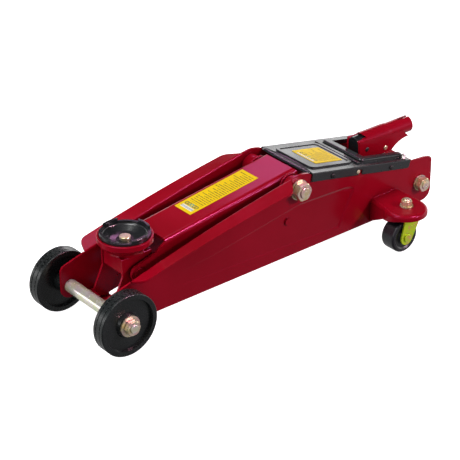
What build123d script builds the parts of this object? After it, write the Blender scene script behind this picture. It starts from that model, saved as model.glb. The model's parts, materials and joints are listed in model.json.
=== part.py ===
from build123d import *
import os
from math import atan2, cos, degrees, hypot, radians, sin, sqrt

# Light hydraulic trolley jack, millimetres.  +X runs from the handle to the saddle, +Y is the
# jack's left side, +Z is up.  The origin is on the floor under the centre of the jack.
AXLE_X = 266.25           # front axle, ahead of the origin
WHEEL_R = 45.0            # front wheel radius, so the axle is this high above the floor
PLATE_OUT = 54.0          # outer face of each side plate, from the centre plane
PLATE_T = 3.0
PLATE_IN = PLATE_OUT - PLATE_T
PLATE_LOW = 27.0          # lower edge of the side plates above the floor
SIDES = (1, -1)
FIT = 0.05                # radial clearance of a shaft turning in a bore
GAP = 0.5                 # air gap between pieces that move apart


def back(distance):
    """X of a point that lies this far behind the front axle."""
    return AXLE_X - distance


# front axle and wheels
AXLE_R = 9.5
SPINDLE_R = 8.0
AXLE_THREAD_R = 6.0
WHEEL_IN = 64.0
WHEEL_OUT = 84.0
HUB_OUT = 83.0
AXLE_END = 95.5

# lift arm pivot, and the parallel links that keep the saddle level
PIVOT_X = back(316.0)
PIVOT_Z = 127.5
YOKE_PIN_X = back(55.0)
YOKE_PIN_Z = 81.1
LINK_DX = 19.0            # offset from an arm pivot to the link pivot below it
LINK_DZ = -44.5
LINK_REAR_X = PIVOT_X + LINK_DX
LINK_REAR_Z = PIVOT_Z + LINK_DZ
LINK_FRONT_X = YOKE_PIN_X + LINK_DX
LINK_FRONT_Z = YOKE_PIN_Z + LINK_DZ
PIVOT_R = 10.0
PIVOT_THREAD_R = 8.0
PIN_R = 6.0

# lift arm: an inverted channel whose top rises towards the pivot
ARM_HALF = 33.0
ARM_T = 4.0
ARM_FRONT_X = back(100.0)
ARM_REAR_X = back(319.0)
ARM_SLOPE = 0.1335
ARM_REAR_Z = 145.0


def arm_top(x):
    """Height of the arm's top surface at this X."""
    return ARM_REAR_Z - ARM_SLOPE * (x - ARM_REAR_X)


# saddle
SADDLE_X = back(57.0)
COLLAR_R = 38.5
CUP_R = 35.0
COLLAR_TOP = 126.0
FUNNEL_TOP = 118.5        # the collar narrows from here down to the yoke
FUNNEL_R = 27.0
DISH_SEAT = 112.0         # bottom of the conical seat that the cup turns in
DISH_SEAT_R = 18.0
YOKE_TOP = 104.7
CUP_TOP = 129.0
TAB_TOP = 133.0
CHEEK_OUT = 24.0
CHEEK_T = 3.0
YOKE_FRONT_X = back(34.0)
YOKE_REAR_X = back(83.0)

# cover over the pump
COVER_FRONT_X = back(341.0)
COVER_REAR_X = back(532.0)
COVER_FRONT_Z = 144.5
COVER_REAR_Z = 104.5
COVER_T = 1.5
COVER_HALF = 55.8
COVER_ANGLE = degrees(atan2(COVER_FRONT_Z - COVER_REAR_Z, COVER_FRONT_X - COVER_REAR_X))
COVER_LEN = hypot(COVER_FRONT_Z - COVER_REAR_Z, COVER_FRONT_X - COVER_REAR_X)

# pump and ram
RAM_Z = 80.0
RAM_R = 14.0
CRANK_DX = -20.0
CRANK_DZ = -42.0
ROLLER_R = 11.0
BLOCK_FRONT_X = back(465.0)
BLOCK_REAR_X = back(562.0)
BLOCK_HALF = 30.0
BLOCK_LOW = 36.0
BLOCK_TOP = 84.0
CYLINDER_R = 17.5
REAR_BOLT_X = back(554.0)
REAR_BOLT_Z = 59.5
PLUNGER_R = 6.0

# handle socket: cheek channel in front, round tube behind
SOCKET_X = back(484.0)
SOCKET_Z = 120.3
SOCKET_FRONT_X = back(469.0)
SOCKET_T = 3.0
SOCKET_HALF = 13.5
TUBE_Z = 128.8
TUBE_R = 12.5
TUBE_BORE_R = 10.0
TUBE_FRONT_X = back(537.0)
TUBE_REAR_X = back(577.0)
PLUNGER_X = back(521.2)
PUMP_PIN_Z = 111.4
PUMP_ROLLER_R = 7.0
SMALL_PIN_R = 3.5

# rear casters
CASTER_X = back(480.0)
CASTER_Y = 103.0
CASTER_WHEEL_X = back(467.5)
CASTER_WHEEL_R = 24.3
CASTER_WHEEL_HALF = 12.3
BRACKET_X = back(478.0)
BRACKET_TOP = 65.0
BRACKET_T = 3.5
FORK_HALF = 16.5
FORK_T = 2.5
FORK_TOP = 53.8
STUD_R = 5.0


def bar_y(radius, y0, y1, x, z):
    """Round bar along Y."""
    return Pos(x, (y0 + y1) / 2, z) * Rot(90, 0, 0) * Cylinder(radius, abs(y1 - y0))


def bar_x(radius, x0, x1, y, z):
    """Round bar along X."""
    return Pos((x0 + x1) / 2, y, z) * Rot(0, 90, 0) * Cylinder(radius, abs(x1 - x0))


def bar_z(radius, z0, z1, x, y):
    """Round bar along Z."""
    return Pos(x, y, (z0 + z1) / 2) * Cylinder(radius, abs(z1 - z0))


def slab_y(sketch, y0, y1):
    """Side-view sketch (x, z) made solid between two Y positions."""
    return extrude(Plane.XZ.offset(-max(y0, y1)) * sketch, abs(y1 - y0), dir=(0, -1, 0))


def slab_z(sketch, z0, z1):
    """Plan sketch (x, y) made solid between two heights."""
    return extrude(Pos(0, 0, z0) * sketch, z1 - z0, dir=(0, 0, 1))


def slab_x(sketch, x0, x1):
    """End-view sketch (y, z) made solid between two X positions."""
    return extrude(Plane.YZ.offset(x0) * sketch, x1 - x0, dir=(1, 0, 0))


def block(x0, x1, y0, y1, z0, z1):
    """Rectangular block given by its limits."""
    centre = Pos((x0 + x1) / 2, (y0 + y1) / 2, (z0 + z1) / 2)
    return centre * Box(abs(x1 - x0), abs(y1 - y0), abs(z1 - z0))


def mirrored(piece):
    """The same piece on the other side of the jack."""
    return mirror(piece, about=Plane.XZ)


def dot(x, z, radius):
    """Round outline in the side view."""
    return Pos(x, z) * Circle(radius)


def eye_link(x0, z0, r0, x1, z1, r1):
    """Side-view outline that wraps two circles."""
    return make_hull((dot(x0, z0, r0) + dot(x1, z1, r1)).edges())


def hex_nut(across_flats, bore_r, thickness):
    """Hexagon nut along Z with turned corners, standing on z = 0."""
    corner_r = across_flats / sqrt(3)
    prism = extrude(RegularPolygon(corner_r, 6), thickness)
    turned = Pos(0, 0, thickness / 2) * Cylinder(corner_r, thickness)
    turned = chamfer(turned.edges().filter_by(GeomType.CIRCLE), 0.11 * across_flats / 2)
    return (prism & turned) - Pos(0, 0, thickness / 2) * Cylinder(bore_r, thickness)


def washer(outer_r, bore_r, thickness):
    """Flat washer along Z, standing on z = 0."""
    ring = Cylinder(outer_r, thickness) - Cylinder(bore_r, thickness)
    return Pos(0, 0, thickness / 2) * ring


def outboard(piece, x, y, z, side):
    """Turn a piece made along +Z to point away from the centre plane at this Y."""
    return Pos(x, side * y, z) * Rot(-90 * side, 0, 0) * piece


def pair(piece, x, y, z):
    """One copy of a +Z piece on each side of the jack."""
    return Compound(children=[outboard(piece, x, y, z, side) for side in SIDES])


# ---- frame -----------------------------------------------------------------------------------
NOSE_X = back(-14.5)
NOSE_TOP = 87.0
NOSE_FRONT_TOP = 76.0
NOTCH_X = back(26.0)
BEND_FRONT_Z = 87.5
BEND_REAR_X = back(300.0)
BEND_REAR_Z = 148.0
BEND_BOW = 3.5            # the bent top edge is slightly bowed upwards
LOBE_R = 21.0
PLATE_REAR_X = back(577.5)


def bend_line(lower):
    """Top edge of the plate from the notch to the pivot, set down by this much."""
    middle = ((NOTCH_X + BEND_REAR_X) / 2, (BEND_FRONT_Z + BEND_REAR_Z) / 2 + BEND_BOW - lower)
    start = (NOTCH_X, BEND_FRONT_Z - lower)
    return ThreePointArc(start, middle, (BEND_REAR_X, BEND_REAR_Z - lower))


def plate_outline():
    """Side view of a side plate."""
    under_cover = 3.5
    rear_top = (back(563), COVER_REAR_Z - 6)
    cover_rear = (COVER_REAR_X, COVER_REAR_Z - under_cover)
    cover_front = (PIVOT_X - LOBE_R - 4, COVER_FRONT_Z - under_cover)
    lobe_top = PIVOT_Z + LOBE_R
    with BuildSketch() as outline:
        with BuildLine():
            arc = bend_line(PLATE_T - 0.2)
            lobe_start, lobe_end = (PIVOT_X + 9, lobe_top), (PIVOT_X - 20, lobe_top - 3)
            lobe = ThreePointArc(lobe_start, (PIVOT_X - 6, lobe_top + 0.5), lobe_end)
            Polyline(
                arc @ 0,
                (NOTCH_X, NOSE_TOP),
                (NOSE_X, NOSE_FRONT_TOP),
                (NOSE_X, PLATE_LOW),
                (PLATE_REAR_X, PLATE_LOW),
                (PLATE_REAR_X, COVER_REAR_Z - 9),
                rear_top,
                cover_rear,
                cover_front,
                lobe @ 1,
            )
            Line(lobe @ 0, arc @ 1)
        make_face()
    sketch = outline.sketch
    corners = (
        (NOSE_X, NOSE_FRONT_TOP, 10),
        (NOSE_X, PLATE_LOW, 14),
        (PLATE_REAR_X, PLATE_LOW, 16),
        (PLATE_REAR_X, COVER_REAR_Z - 9, 8),
    )
    for x, z, radius in corners:
        sketch = fillet(sketch.vertices().sort_by_distance((x, z, 0))[0], radius)
    return sketch


def top_flange():
    """Outward flange along the top of the left plate, ruled from the bend to a raised edge."""
    tilt_front = 7.0
    tilt_rear = -5.7
    reach = 82.0
    flange_end = BEND_REAR_X - 1.5
    sections = []
    for y, front, rear in ((PLATE_IN, 0, 0), (reach, tilt_front, tilt_rear)):
        with BuildSketch(Plane.XZ.offset(-y)) as section:
            with BuildLine():
                corners = []
                for drop in (0, PLATE_T):
                    start = (NOTCH_X, BEND_FRONT_Z - drop + front)
                    end = (BEND_REAR_X - 6, BEND_REAR_Z - drop + rear)
                    top = ((start[0] + end[0]) / 2, (start[1] + end[1]) / 2 + BEND_BOW)
                    corners.append(ThreePointArc(start, top, end))
                Line(corners[0] @ 0, corners[1] @ 0)
                Line(corners[0] @ 1, corners[1] @ 1)
            make_face()
        sections.append(section.sketch)
    band = loft(sections, ruled=True)
    inner_top = band.edges().filter_by(lambda e: e.length > 200).sort_by(Axis.Y)[:2].sort_by(Axis.Z)[-1]
    band = fillet(inner_top, 2.6)
    front_reach = 74.0
    rear_corner = (BEND_REAR_X + 12, 76.5)
    plan = Polygon(
        (NOTCH_X, PLATE_IN - 1),
        (NOTCH_X - 2, PLATE_OUT + 2),
        (NOTCH_X - 8, front_reach),
        rear_corner,
        (flange_end, PLATE_OUT + 1),
        (flange_end, PLATE_IN - 1),
        align=None,
    )
    for (x, y), radius in (((NOTCH_X - 8, front_reach), 12), (rear_corner, 14)):
        plan = fillet(plan.vertices().sort_by_distance((x, y, 0))[0], radius)
    return band & slab_z(plan, 0, 200)


PANEL_FRONT = 88.0        # the pressed recess, behind the axle
PANEL_REAR = 425.0


def pressed_panel():
    """Side view of the wedge-shaped recess pressed into each side plate."""
    front_low, front_top = (back(PANEL_FRONT), 49), (back(100), 75)
    rear_low, rear_top = (back(395), 38), (back(PANEL_REAR), 96)
    wedge = Polygon(
        front_low,
        front_top,
        (back(170), 82),
        (back(319), 105),
        (back(405), 101),
        rear_top,
        rear_low,
        (back(240), 44),
        align=None,
    )
    return fillet(wedge.vertices(), 5)


def recess_solid(depth, spread):
    """Recess with sloping sides, full depth at the rear and running out to nothing at the front."""
    with BuildPart() as solid:
        with BuildSketch(Plane.XZ.offset(-(PLATE_OUT - depth))):
            add(offset(pressed_panel(), -spread))
        with BuildSketch(Plane.XZ.offset(-(PLATE_OUT + depth))):
            add(offset(pressed_panel(), spread))
        loft(ruled=True)
    run_out = degrees(atan2(depth, PANEL_REAR - PANEL_FRONT))
    hinge = Pos(back(PANEL_REAR), PLATE_OUT - depth, 0)
    return hinge * Rot(0, 0, run_out) * hinge.inverse() * solid.part


def side_plate_left():
    """Pressed side plate: web, outward top flange, wedge recess and bolt holes."""
    press_depth = 1.6
    plate = slab_y(plate_outline(), PLATE_IN, PLATE_OUT) + top_flange()
    plate += slab_y(offset(pressed_panel(), 1.5), PLATE_IN - press_depth, PLATE_IN)
    plate -= recess_solid(press_depth, 3.5)
    holes = (
        (AXLE_X, WHEEL_R, SPINDLE_R),
        (PIVOT_X, PIVOT_Z, PIVOT_R),
        (REAR_BOLT_X, REAR_BOLT_Z, PIN_R),
        (LINK_REAR_X, LINK_REAR_Z, PIN_R),
    )
    for x, z, radius in holes:
        plate -= bar_y(radius, PLATE_IN - 5, PLATE_OUT + 5, x, z)
    return plate


def front_tie_plate():
    """Flat bar welded under both side plates behind the axle."""
    bar = block(back(45), back(14), -PLATE_OUT, PLATE_OUT, PLATE_LOW - 3, PLATE_LOW)
    return fillet(bar.edges().filter_by(Axis.Z), 4)


def front_axle():
    """Turned axle: thick centre, wheel spindles and threaded ends."""
    shaft = bar_y(AXLE_R, -PLATE_IN, PLATE_IN, AXLE_X, WHEEL_R)
    shaft += bar_y(SPINDLE_R, -HUB_OUT - 0.05, HUB_OUT + 0.05, AXLE_X, WHEEL_R)
    shaft += bar_y(AXLE_THREAD_R, -AXLE_END, AXLE_END, AXLE_X, WHEEL_R)
    ends = shaft.faces().filter_by(Axis.Y).sort_by(Axis.Y)
    return chamfer(ends[0].edges() + ends[-1].edges(), 0.8)


def pivot_shaft():
    """Main shaft through both side plates and the arm."""
    shaft = bar_y(PIVOT_R, -PLATE_OUT, PLATE_OUT, PIVOT_X, PIVOT_Z)
    shaft += bar_y(PIVOT_THREAD_R, -69.5, 69.5, PIVOT_X, PIVOT_Z)
    ends = shaft.faces().filter_by(Axis.Y).sort_by(Axis.Y)
    return chamfer(ends[0].edges() + ends[-1].edges(), 0.8)


def rear_bolt():
    """Cross bolt that holds the pump between the side plates."""
    shaft = bar_y(PIN_R, -67.5, 67.5, REAR_BOLT_X, REAR_BOLT_Z)
    ends = shaft.faces().filter_by(Axis.Y).sort_by(Axis.Y)
    return chamfer(ends[0].edges() + ends[-1].edges(), 0.8)


def link_pins():
    """Short riveted pins that carry the rear ends of the parallel links."""
    pins = []
    for side in SIDES:
        pin = bar_y(PIN_R, side * 24.5, side * PLATE_OUT, LINK_REAR_X, LINK_REAR_Z)
        pin += bar_y(5, side * PLATE_OUT, side * (PLATE_OUT + 1.2), LINK_REAR_X, LINK_REAR_Z)
        pins.append(pin)
    return Compound(children=pins)


# ---- cover -----------------------------------------------------------------------------------
def cover_space():
    """Placement whose X runs back along the cover from its front edge and Z is its normal."""
    return Pos(COVER_FRONT_X, 0, COVER_FRONT_Z) * Rot(0, 0, 180) * Rot(0, COVER_ANGLE, 0)


def rounded_box(x0, x1, y0, y1, z0, z1, radius):
    """Block with rounded corners in plan."""
    solid = block(x0, x1, y0, y1, z0, z1)
    return fillet(solid.edges().filter_by(Axis.Z), radius)


PANEL_X = (10.5, 93.0)
PANEL_HALF = 41.0
RIB_X = (95.5, 101.5)
MOUTH_X = (118.5, 189.0)
MOUTH_HALF = 33.0
CURB_FRONT = 105.5
CURB_HALF = 43.0
STRIP_SPLIT = (92.5, 98.0)


def side_strips():
    """Turned-down strips along both edges, each in two lengths with rounded lower corners."""
    drop = 12.8
    front, rear = STRIP_SPLIT
    outline = Pos(front / 2, -drop / 2) * RectangleRounded(front, drop, 2)
    length = COVER_LEN - rear
    outline += Pos(rear + length / 2, -drop / 2) * RectangleRounded(length, drop, 4)
    outline += Pos(COVER_LEN / 2, -2.5) * Rectangle(COVER_LEN, 5)
    strips = [slab_y(outline, side * (COVER_HALF - COVER_T), side * COVER_HALF) for side in SIDES]
    return strips[0] + strips[1]


def cover():
    """Folded sheet cover with side strips, a raised panel, a cross rib and a curbed mouth."""
    curb = 5.0
    sheet = block(0, COVER_LEN, -COVER_HALF, COVER_HALF, -COVER_T, 0) + side_strips()
    sheet += block(0, 1.5, 1 - PLATE_IN, PLATE_IN - 1, -COVER_T - 2.5, -COVER_T)
    sheet += rounded_box(PANEL_X[0], PANEL_X[1], -PANEL_HALF, PANEL_HALF, 0, 2.2, 9)
    sheet -= rounded_box(PANEL_X[0] + 5, PANEL_X[1] - 5, -PANEL_HALF + 5, PANEL_HALF - 5, 1.2, 3, 5)
    sheet += rounded_box(RIB_X[0], RIB_X[1], -47, 47, 0, 2.2, 2.8)
    rim = rounded_box(CURB_FRONT, MOUTH_X[1] + 3, -CURB_HALF, CURB_HALF, 0, curb, 6)
    sheet += fillet(rim.faces().sort_by(Axis.Z)[-1].edges(), 3)
    sheet -= block(MOUTH_X[0], COVER_LEN + 5, -MOUTH_HALF, MOUTH_HALF, -20, 20)
    long_top = sheet.edges().filter_by(Axis.X).filter_by(
        lambda e: abs(abs(e.center().Y) - COVER_HALF) < 0.1 and abs(e.center().Z) < 0.1
    )
    return cover_space() * fillet(long_top, 1.2)


def cover_label():
    """Printed plate stuck in the cover's raised panel."""
    return cover_space() * rounded_box(30, 82.5, -28, 24, 1.2, 1.7, 2)


def arm_label():
    """Printed plate stuck on top of the lift arm."""
    front_x, rear_x = back(159), back(279.5)
    tilt = Pos(rear_x, -6.6, arm_top(rear_x)) * Rot(0, degrees(atan2(ARM_SLOPE, 1)), 0)
    length = (front_x - rear_x) / cos(atan2(ARM_SLOPE, 1))
    return tilt * block(0, length, -17.4, 17.4, 0, 0.4)


def cover_screws():
    """Small pan-head screws through the cover's side strips."""
    screws = []
    for side in SIDES:
        for along in (40.0, 157.0):
            head = fillet(Cylinder(3.4, 2).edges().sort_by(Axis.Z)[-1], 1.2)
            slot = block(-4, 4, -0.5, 0.5, 0.3, 2)
            screw = head - slot
            place = Pos(along, side * (COVER_HALF + 1.0), -8) * Rot(90 * side, 0, 0) * Rot(180, 0, 0)
            screws.append(cover_space() * place * screw)
    return Compound(children=screws)


# ---- lift arm --------------------------------------------------------------------------------
def arm_wall_outline():
    """Side view of the arm's side walls."""
    nose_r = 12.5
    step = 3.5
    with BuildSketch() as outline:
        with BuildLine():
            nose = ThreePointArc(
                (YOKE_PIN_X + nose_r * cos(radians(62)), YOKE_PIN_Z + nose_r * sin(radians(62))),
                (YOKE_PIN_X + nose_r, YOKE_PIN_Z),
                (YOKE_PIN_X, YOKE_PIN_Z - nose_r),
            )
            lobe = ThreePointArc(
                (PIVOT_X + 14, PIVOT_Z - 16),
                (PIVOT_X - 21, PIVOT_Z - 4),
                (PIVOT_X - 12, arm_top(PIVOT_X - 12)),
            )
            Polyline(
                nose @ 1,
                (back(150), YOKE_PIN_Z - nose_r + 1),
                (back(262), 90),
                lobe @ 0,
            )
            Polyline(
                lobe @ 1,
                (ARM_FRONT_X, arm_top(ARM_FRONT_X)),
                (ARM_FRONT_X, arm_top(ARM_FRONT_X) - step),
                (ARM_FRONT_X + 18, 101.0),
                nose @ 0,
            )
        make_face()
    return outline.sketch


def lift_arm():
    """Inverted channel with rounded top bends, pivot eyes and a front nose."""
    bend_r = 7.0
    body = slab_y(arm_wall_outline(), -ARM_HALF, ARM_HALF)
    long_edges = body.edges().filter_by(
        lambda e: abs(abs(e.center().Y) - ARM_HALF) < 0.1 and e.length > 150 and e.center().Z > 125
    )
    body = fillet(long_edges, bend_r)
    core_top = Polygon(
        (AXLE_X, 0),
        (AXLE_X, 100),
        (ARM_FRONT_X, arm_top(ARM_FRONT_X) - ARM_T),
        (ARM_REAR_X - 40, arm_top(ARM_REAR_X - 40) - ARM_T),
        (ARM_REAR_X - 40, 0),
        align=None,
    )
    front_core = Polygon(
        (ARM_FRONT_X, 0), (AXLE_X, 0), (AXLE_X, 200), (ARM_FRONT_X, 200), align=None
    )
    inside = ARM_HALF - ARM_T
    body -= slab_y(core_top, -inside, inside)
    body -= slab_y(front_core, -inside, inside)
    body -= bar_y(15, -60, 60, PIVOT_X, PIVOT_Z)
    return body - bar_y(PIN_R, -60, 60, YOKE_PIN_X, YOKE_PIN_Z)


def pivot_tube():
    """Tube welded through the arm that turns on the main shaft."""
    length = PLATE_IN - GAP
    tube = bar_y(15, -length, length, PIVOT_X, PIVOT_Z)
    return tube - bar_y(PIVOT_R + FIT, -60, 60, PIVOT_X, PIVOT_Z)


def crank_plates():
    """Two plates welded to the pivot tube that carry the ram roller."""
    shape = eye_link(PIVOT_X, PIVOT_Z, 21, PIVOT_X + CRANK_DX, PIVOT_Z + CRANK_DZ, 10.5)
    front, rear = PIVOT_X + 40, PIVOT_X - 40
    above = Polygon(
        (rear, arm_top(rear) - ARM_T), (front, arm_top(front) - ARM_T), (front, 200), (rear, 200), align=None
    )
    shape -= above
    shape -= dot(PIVOT_X, PIVOT_Z, 15)
    shape -= dot(PIVOT_X + CRANK_DX, PIVOT_Z + CRANK_DZ, PIN_R)
    return Compound(children=[slab_y(shape, side * 16, side * 21) for side in SIDES])


def headed_pin(half_length, x, z):
    """Cross pin with an enlarged head at each end, outside the pieces it holds."""
    pin = bar_y(PIN_R, -half_length, half_length, x, z)
    for side in SIDES:
        pin += bar_y(PIN_R + 2, side * half_length, side * (half_length + 2), x, z)
    return pin


def ram_roller():
    """Roller on the crank pin, pushed by the ram."""
    x, z = PIVOT_X + CRANK_DX, PIVOT_Z + CRANK_DZ
    return bar_y(ROLLER_R, -15.5, 15.5, x, z) - bar_y(PIN_R + FIT, -20, 20, x, z)


# ---- saddle ----------------------------------------------------------------------------------
def saddle_yoke():
    """Folded yoke under a funnel-shaped collar, bored for the arm pin and the link pins."""
    cheek = Polygon(
        (YOKE_FRONT_X, YOKE_TOP),
        (YOKE_FRONT_X, 78),
        (back(18), 44),
        (LINK_FRONT_X + 9, LINK_FRONT_Z - 4),
        (LINK_FRONT_X - 5, LINK_FRONT_Z - 8),
        (back(66), YOKE_PIN_Z - 12),
        (YOKE_REAR_X, 98),
        (YOKE_REAR_X, YOKE_TOP),
        align=None,
    )
    inside = CHEEK_OUT - CHEEK_T
    body = slab_y(cheek, -CHEEK_OUT, CHEEK_OUT)
    body = fillet(body.edges().filter_by(Axis.X).filter_by(lambda e: e.center().Z > YOKE_TOP - 0.1), 2)
    body -= block(back(120), back(0), -inside, inside, 0, YOKE_TOP - CHEEK_T)
    body += block(YOKE_FRONT_X - 1.5 - CHEEK_T, YOKE_FRONT_X - 1.5, -inside, inside, 81, YOKE_TOP)
    body += Pos(SADDLE_X, 0, 0) * collar()
    body -= bar_z(PIN_R + FIT, 90, 130, SADDLE_X, 0)
    body -= bar_y(PIN_R + FIT, -40, 40, YOKE_PIN_X, YOKE_PIN_Z)
    return body - bar_y(PIN_R, -40, 40, LINK_FRONT_X, LINK_FRONT_Z)


def collar():
    """Ring on a funnel, with a conical seat for the cup."""
    profile = Polygon(
        (0, YOKE_TOP - 1),
        (FUNNEL_R, YOKE_TOP - 1),
        (FUNNEL_R + 1, YOKE_TOP + 3),
        (COLLAR_R - 2, FUNNEL_TOP - 1),
        (COLLAR_R, FUNNEL_TOP),
        (COLLAR_R, COLLAR_TOP),
        (CUP_R + GAP, COLLAR_TOP),
        (CUP_R + GAP, DISH_SEAT + 8.5),
        (DISH_SEAT_R, DISH_SEAT),
        (0, DISH_SEAT),
        align=None,
    )
    profile = fillet(profile.vertices().sort_by_distance((COLLAR_R, COLLAR_TOP, 0))[0], 1.2)
    profile = fillet(profile.vertices().sort_by_distance((FUNNEL_R + 1, YOKE_TOP + 3, 0))[0], 6)
    return revolve(Plane.XZ * profile, Axis.Z)


def saddle_cup():
    """Dished saddle with four raised rim tabs."""
    base = DISH_SEAT + GAP
    profile = Polygon(
        (0, base),
        (DISH_SEAT_R, base),
        (CUP_R, base + 8.4),
        (CUP_R, TAB_TOP),
        (CUP_R - 4, TAB_TOP),
        (CUP_R - 4, 125),
        (20, 120),
        (12, 119),
        (0, 119),
        align=None,
    )
    profile = fillet(profile.vertices().sort_by_distance((CUP_R, TAB_TOP, 0))[0], 1.2)
    profile = fillet(profile.vertices().sort_by_distance((CUP_R - 4, 125, 0))[0], 3)
    cup = Pos(SADDLE_X, 0, 0) * revolve(Plane.XZ * profile, Axis.Z)
    for angle in (45, 135, 225, 315):
        slot = block(20, 45, -14, 14, CUP_TOP, 140)
        cup -= Pos(SADDLE_X, 0, 0) * Rot(0, 0, angle) * slot
    return cup - bar_z(PIN_R, 100, 140, SADDLE_X, 0)


def saddle_bolt():
    """Bolt and nut that hold the saddle down in its collar and turn with it."""
    head = bar_z(8, 119, 123.6, SADDLE_X, 0)
    head = fillet(head.edges().sort_by(Axis.Z)[-1], 1.5)
    plate_under = YOKE_TOP - CHEEK_T
    shank = bar_z(PIN_R, plate_under - 7, 119, SADDLE_X, 0)
    return head + shank + bar_z(9, plate_under - 6, plate_under - GAP, SADDLE_X, 0)


def link_bar(side):
    """Flat bar with an eye at each end, between yoke cheek and arm wall."""
    shape = eye_link(LINK_FRONT_X, LINK_FRONT_Z, 8.6, LINK_REAR_X, LINK_REAR_Z, 10)
    shape -= dot(LINK_FRONT_X, LINK_FRONT_Z, PIN_R + GAP)
    shape -= dot(LINK_REAR_X, LINK_REAR_Z, PIN_R + FIT)
    return slab_y(shape, side * 25, side * 28)


def link_front_pins():
    """Short pins that carry the front ends of the parallel links on the yoke's cheeks."""
    inner = CHEEK_OUT - CHEEK_T
    pins = [bar_y(PIN_R, side * inner, side * 28.4, LINK_FRONT_X, LINK_FRONT_Z) for side in SIDES]
    return Compound(children=pins)


# ---- pump ------------------------------------------------------------------------------------
VALVE_Z = 72.0
RAM_FACE_X = PIVOT_X + CRANK_DX - ROLLER_R - 0.7
CYLINDER_FRONT_X = back(366)
CYLINDER_REAR_X = back(500)


def ram_piston():
    """Ram with a flat round head that pushes the roller."""
    head = bar_x(15.5, RAM_FACE_X - 9, RAM_FACE_X, 0, RAM_Z)
    head = chamfer(head.edges().filter_by(GeomType.CIRCLE), 1.5)
    return head + bar_x(RAM_R, CYLINDER_REAR_X + 2, RAM_FACE_X - 5, 0, RAM_Z)


def ram_cylinder():
    """Cylinder that guides the ram."""
    barrel = bar_x(CYLINDER_R, CYLINDER_REAR_X, CYLINDER_FRONT_X, 0, RAM_Z)
    return barrel - bar_x(RAM_R + FIT, CYLINDER_REAR_X, CYLINDER_FRONT_X, 0, RAM_Z)


def reservoir_tube():
    """Oil reservoir tube around the cylinder."""
    front = back(376)
    return bar_x(27, BLOCK_FRONT_X, front, 0, RAM_Z) - bar_x(24.5, BLOCK_FRONT_X, front, 0, RAM_Z)


def gland_nut():
    """Hexagon nut that closes the front of the reservoir."""
    nut = Rot(0, 90, 0) * hex_nut(50, CYLINDER_R, 10)
    return Pos(back(376), 0, RAM_Z) * nut


def hydraulic_block():
    """Cast pump body with bores for the cylinder, plunger, valve and cross bolt."""
    pad_top = 101.0
    body = block(BLOCK_REAR_X, BLOCK_FRONT_X, -BLOCK_HALF, BLOCK_HALF, BLOCK_LOW, BLOCK_TOP)
    body += block(CYLINDER_REAR_X - 4, BLOCK_FRONT_X, -BLOCK_HALF, BLOCK_HALF, BLOCK_TOP, pad_top)
    body = fillet(body.edges().filter_by(Axis.Z), 3)
    for side in SIDES:
        body += bar_y(13, side * BLOCK_HALF, side * PLATE_IN, REAR_BOLT_X, REAR_BOLT_Z)
        body += block(back(489), back(473), side * 20, side * PLATE_IN, 60, 84)
    lug_low = pad_top - 1
    lug = Polygon(
        (SOCKET_X - 8, lug_low),
        (SOCKET_X, lug_low),
        (SOCKET_X, SOCKET_Z),
        (SOCKET_X - 8, SOCKET_Z),
        align=None,
    )
    body += slab_y(lug + dot(SOCKET_X, SOCKET_Z, 8), -6, 6)
    body -= bar_y(SMALL_PIN_R, -60, 60, SOCKET_X, SOCKET_Z)
    body -= bar_y(PIN_R, -60, 60, REAR_BOLT_X, REAR_BOLT_Z)
    body -= bar_x(CYLINDER_R, CYLINDER_REAR_X, BLOCK_FRONT_X + 1, 0, RAM_Z)
    body -= bar_z(PLUNGER_R + FIT, BLOCK_LOW + 4, 120, PLUNGER_X, 0)
    return body - bar_x(STUD_R + FIT, BLOCK_REAR_X, BLOCK_REAR_X + 15, 0, VALVE_Z)


def release_valve():
    """Release spindle with a flat tang, turned by the handle's twist."""
    rod = bar_x(STUD_R, BLOCK_REAR_X - 4, BLOCK_REAR_X + 14, 0, VALVE_Z)
    return rod + block(BLOCK_REAR_X - 11, BLOCK_REAR_X - 4, -2, 2, VALVE_Z - 4.5, VALVE_Z + 4.5)


def pump_plunger():
    """Plunger with a flat head under the socket's roller."""
    head_top = PUMP_PIN_Z - PUMP_ROLLER_R - GAP
    rod = bar_z(PLUNGER_R, 46, head_top - 3, PLUNGER_X, 0)
    return rod + bar_z(10, head_top - 3, head_top, PLUNGER_X, 0)


def pump_spring():
    """Return spring between the block and the plunger's head."""
    wire_r = 0.8
    low = BLOCK_TOP + wire_r + 0.1
    high = PUMP_PIN_Z - PUMP_ROLLER_R - GAP - 3 - wire_r - 0.1
    path = Helix(pitch=(high - low) / 4, height=high - low, radius=7.6)
    start = Plane(origin=path @ 0, z_dir=path % 0)
    coil = sweep(start * Circle(wire_r), path=path)
    return Pos(PLUNGER_X, 0, low) * coil


# ---- handle socket ---------------------------------------------------------------------------
def tube_shape(front_r, rear_r):
    """Round bar along the socket that steps smoothly from one radius to the other."""
    step_start, step_end = TUBE_FRONT_X + 8, TUBE_FRONT_X
    profile = Polygon(
        (SOCKET_FRONT_X, 0),
        (SOCKET_FRONT_X, front_r),
        (step_start, front_r),
        (step_end, rear_r),
        (TUBE_REAR_X, rear_r),
        (TUBE_REAR_X, 0),
        align=None,
    )
    return Pos(0, 0, TUBE_Z) * revolve(Plane.XZ * profile, Axis.X)


def cheek_outline():
    """Side view of the socket's cheeks, hollowed behind towards the tube."""
    with BuildSketch() as outline:
        with BuildLine():
            foot, sweep_end = (back(533.5), 103.1), (back(568), TUBE_Z - TUBE_R + 0.2)
            rear = ThreePointArc(foot, (back(546), 111.8), sweep_end)
            Polyline(
                rear @ 1,
                (back(555), TUBE_Z),
                (SOCKET_FRONT_X, TUBE_Z + 7),
                (SOCKET_FRONT_X, 112),
                (back(476), 105),
                rear @ 0,
            )
        make_face()
    return outline.sketch


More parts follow.
